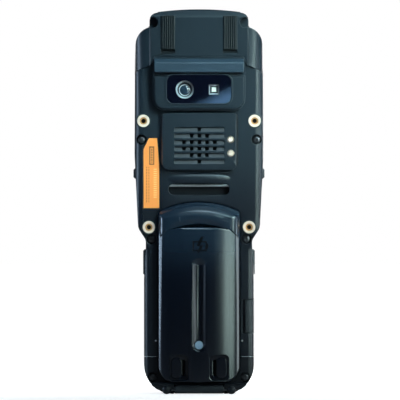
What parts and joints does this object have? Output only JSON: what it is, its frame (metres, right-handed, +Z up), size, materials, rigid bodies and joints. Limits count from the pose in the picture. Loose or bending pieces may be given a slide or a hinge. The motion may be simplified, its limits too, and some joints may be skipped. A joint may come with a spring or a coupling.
{
  "type": "portable barcode data terminal",
  "caption": "Rugged upright handheld terminal with scan window, rear camera, display, keypad, tilting battery pack, port lid and side flap.",
  "frame": {"origin": "centre of the lower end, on the surface that the terminal stands on", "axes": "+Z up towards the scanner head, -Y out of the battery and camera side, +Y out of the display, +X to the right seen from the back"},
  "size_m": [0.072, 0.036, 0.211],
  "materials": {
    "shell_back": "fine satin grain",
    "shell_front": "fine satin grain",
    "battery_shell": "smooth satin",
    "soft_rubber": "matt rubber",
    "button_rubber": "matt rubber",
    "inner_plastic": "moulded",
    "keypad_mat": "silicone",
    "dark_window": "polished, tinted",
    "touch_glass": "polished",
    "lens_glass": "coated lens",
    "steel": "satin",
    "dark_steel": "blackened",
    "brass": "bright turned",
    "gold": "gold plated",
    "label": "printed film",
    "flash": "white, clear top",
    "board": "solder mask",
    "cell_wrap": "shrink wrap",
    "lamp": "diffused",
    "key_grey": "silk silicone",
    "key_orange": "silk silicone"
  },
  "bodies": {
    "case": {"rear_shell": "shell_back", "front_shell": "shell_front", "shell_gasket": "soft_rubber", "top_cap": "shell_back", "scan_window": "dark_window", "scan_engine": "steel", "visor": "shell_back", "camera_bezel": "shell_back", "camera_window": "dark_window", "camera_ring": "steel", "camera_lens": "lens_glass", "flash_led": "flash", "speaker_cover": "shell_back", "speaker_driver": "inner_plastic", "strap_bar": "steel", "label": "label", "insert_nuts": "brass", "case_screws": "dark_steel", "main_board": "board", "display_module": "steel", "touch_glass": "touch_glass", "keypad_mat": "keypad_mat", "keypad_board": "board", "antenna": "gold", "receiver": "steel", "vibration_motor": "steel", "end_cap": "shell_front", "hinge_pins": "steel", "dock_connector": "inner_plastic", "side_socket": "steel", "bay_contacts": "gold"},
    "battery_pack": {"battery_cover": "battery_shell", "battery_cells": "cell_wrap", "battery_tray": "inner_plastic", "battery_contacts": "gold", "charge_lamp": "lamp"},
    "left_latch": {"left_latch": "button_rubber"},
    "right_latch": {"right_latch": "button_rubber"},
    "port_lid": {"port_lid": "soft_rubber"},
    "side_flap": {"side_flap": "soft_rubber"},
    "left_scan_key": {"left_scan_key": "button_rubber"},
    "right_scan_key": {"right_scan_key": "button_rubber"},
    "left_side_button": {"left_side_button": "button_rubber"},
    "right_side_button": {"right_side_button": "button_rubber"},
    "upper_contact_pin": {"upper_contact_pin": "gold"},
    "lower_contact_pin": {"lower_contact_pin": "gold"},
    "scan_key": {"scan_key": "key_orange"},
    "nav_key": {"nav_key": "key_grey"},
    "key_1": {"key_1": "key_grey"},
    "key_2": {"key_2": "key_grey"},
    "key_3": {"key_3": "key_grey"},
    "key_4": {"key_4": "key_grey"},
    "key_5": {"key_5": "key_grey"},
    "key_6": {"key_6": "key_grey"},
    "key_7": {"key_7": "key_grey"},
    "key_8": {"key_8": "key_grey"},
    "key_9": {"key_9": "key_grey"},
    "key_star": {"key_star": "key_grey"},
    "key_0": {"key_0": "key_grey"},
    "key_hash": {"key_hash": "key_grey"}
  },
  "joints": [
    {"name": "battery_tilt", "type": "hinge", "parent": "case", "child": "battery_pack", "pos_m": [0, -0.0086, 0.1032], "axis": [-1, 0, 0], "range_deg": [0, 30]},
    {"name": "left_latch_slide", "type": "slide", "parent": "battery_pack", "child": "left_latch", "axis": [1, 0, 0], "range_m": [0, 0.0025], "stiffness_N_per_m": 400},
    {"name": "right_latch_slide", "type": "slide", "parent": "battery_pack", "child": "right_latch", "axis": [-1, 0, 0], "range_m": [0, 0.0025], "stiffness_N_per_m": 400},
    {"name": "port_lid_hinge", "type": "hinge", "parent": "case", "child": "port_lid", "pos_m": [0, -0.0127, 0.0028], "axis": [-1, 0, 0], "range_deg": [0, 170]},
    {"name": "side_flap_hinge", "type": "hinge", "parent": "case", "child": "side_flap", "pos_m": [0.0287, 0.003, 0.04262], "axis": [0, 0, 1], "range_deg": [0, 90]},
    {"name": "left_scan_press", "type": "slide", "parent": "case", "child": "left_scan_key", "axis": [1, 0, 0], "range_m": [0, 0.0007], "stiffness_N_per_m": 2000},
    {"name": "left_button_press", "type": "slide", "parent": "case", "child": "left_side_button", "axis": [1, 0, 0], "range_m": [0, 0.0007], "stiffness_N_per_m": 2000},
    {"name": "right_scan_press", "type": "slide", "parent": "case", "child": "right_scan_key", "axis": [-1, 0, 0], "range_m": [0, 0.0007], "stiffness_N_per_m": 2000},
    {"name": "right_button_press", "type": "slide", "parent": "case", "child": "right_side_button", "axis": [-1, 0, 0], "range_m": [0, 0.0007], "stiffness_N_per_m": 2000},
    {"name": "upper_contact_press", "type": "slide", "parent": "case", "child": "upper_contact_pin", "axis": [0, 1, 0], "range_m": [0, 0.0005], "stiffness_N_per_m": 600},
    {"name": "lower_contact_press", "type": "slide", "parent": "case", "child": "lower_contact_pin", "axis": [0, 1, 0], "range_m": [0, 0.0005], "stiffness_N_per_m": 600},
    {"name": "scan_key_press", "type": "slide", "parent": "case", "child": "scan_key", "axis": [0, -1, 0], "range_m": [0, 0.0007], "stiffness_N_per_m": 1500},
    {"name": "nav_key_press", "type": "slide", "parent": "case", "child": "nav_key", "axis": [0, -1, 0], "range_m": [0, 0.0007], "stiffness_N_per_m": 1500},
    {"name": "key_1_press", "type": "slide", "parent": "case", "child": "key_1", "axis": [0, -1, 0], "range_m": [0, 0.0007], "stiffness_N_per_m": 1500},
    {"name": "key_2_press", "type": "slide", "parent": "case", "child": "key_2", "axis": [0, -1, 0], "range_m": [0, 0.0007], "stiffness_N_per_m": 1500},
    {"name": "key_3_press", "type": "slide", "parent": "case", "child": "key_3", "axis": [0, -1, 0], "range_m": [0, 0.0007], "stiffness_N_per_m": 1500},
    {"name": "key_4_press", "type": "slide", "parent": "case", "child": "key_4", "axis": [0, -1, 0], "range_m": [0, 0.0007], "stiffness_N_per_m": 1500},
    {"name": "key_5_press", "type": "slide", "parent": "case", "child": "key_5", "axis": [0, -1, 0], "range_m": [0, 0.0007], "stiffness_N_per_m": 1500},
    {"name": "key_6_press", "type": "slide", "parent": "case", "child": "key_6", "axis": [0, -1, 0], "range_m": [0, 0.0007], "stiffness_N_per_m": 1500},
    {"name": "key_7_press", "type": "slide", "parent": "case", "child": "key_7", "axis": [0, -1, 0], "range_m": [0, 0.0007], "stiffness_N_per_m": 1500},
    {"name": "key_8_press", "type": "slide", "parent": "case", "child": "key_8", "axis": [0, -1, 0], "range_m": [0, 0.0007], "stiffness_N_per_m": 1500},
    {"name": "key_9_press", "type": "slide", "parent": "case", "child": "key_9", "axis": [0, -1, 0], "range_m": [0, 0.0007], "stiffness_N_per_m": 1500},
    {"name": "key_star_press", "type": "slide", "parent": "case", "child": "key_star", "axis": [0, -1, 0], "range_m": [0, 0.0007], "stiffness_N_per_m": 1500},
    {"name": "key_0_press", "type": "slide", "parent": "case", "child": "key_0", "axis": [0, -1, 0], "range_m": [0, 0.0007], "stiffness_N_per_m": 1500},
    {"name": "key_hash_press", "type": "slide", "parent": "case", "child": "key_hash", "axis": [0, -1, 0], "range_m": [0, 0.0007], "stiffness_N_per_m": 1500}
  ]
}
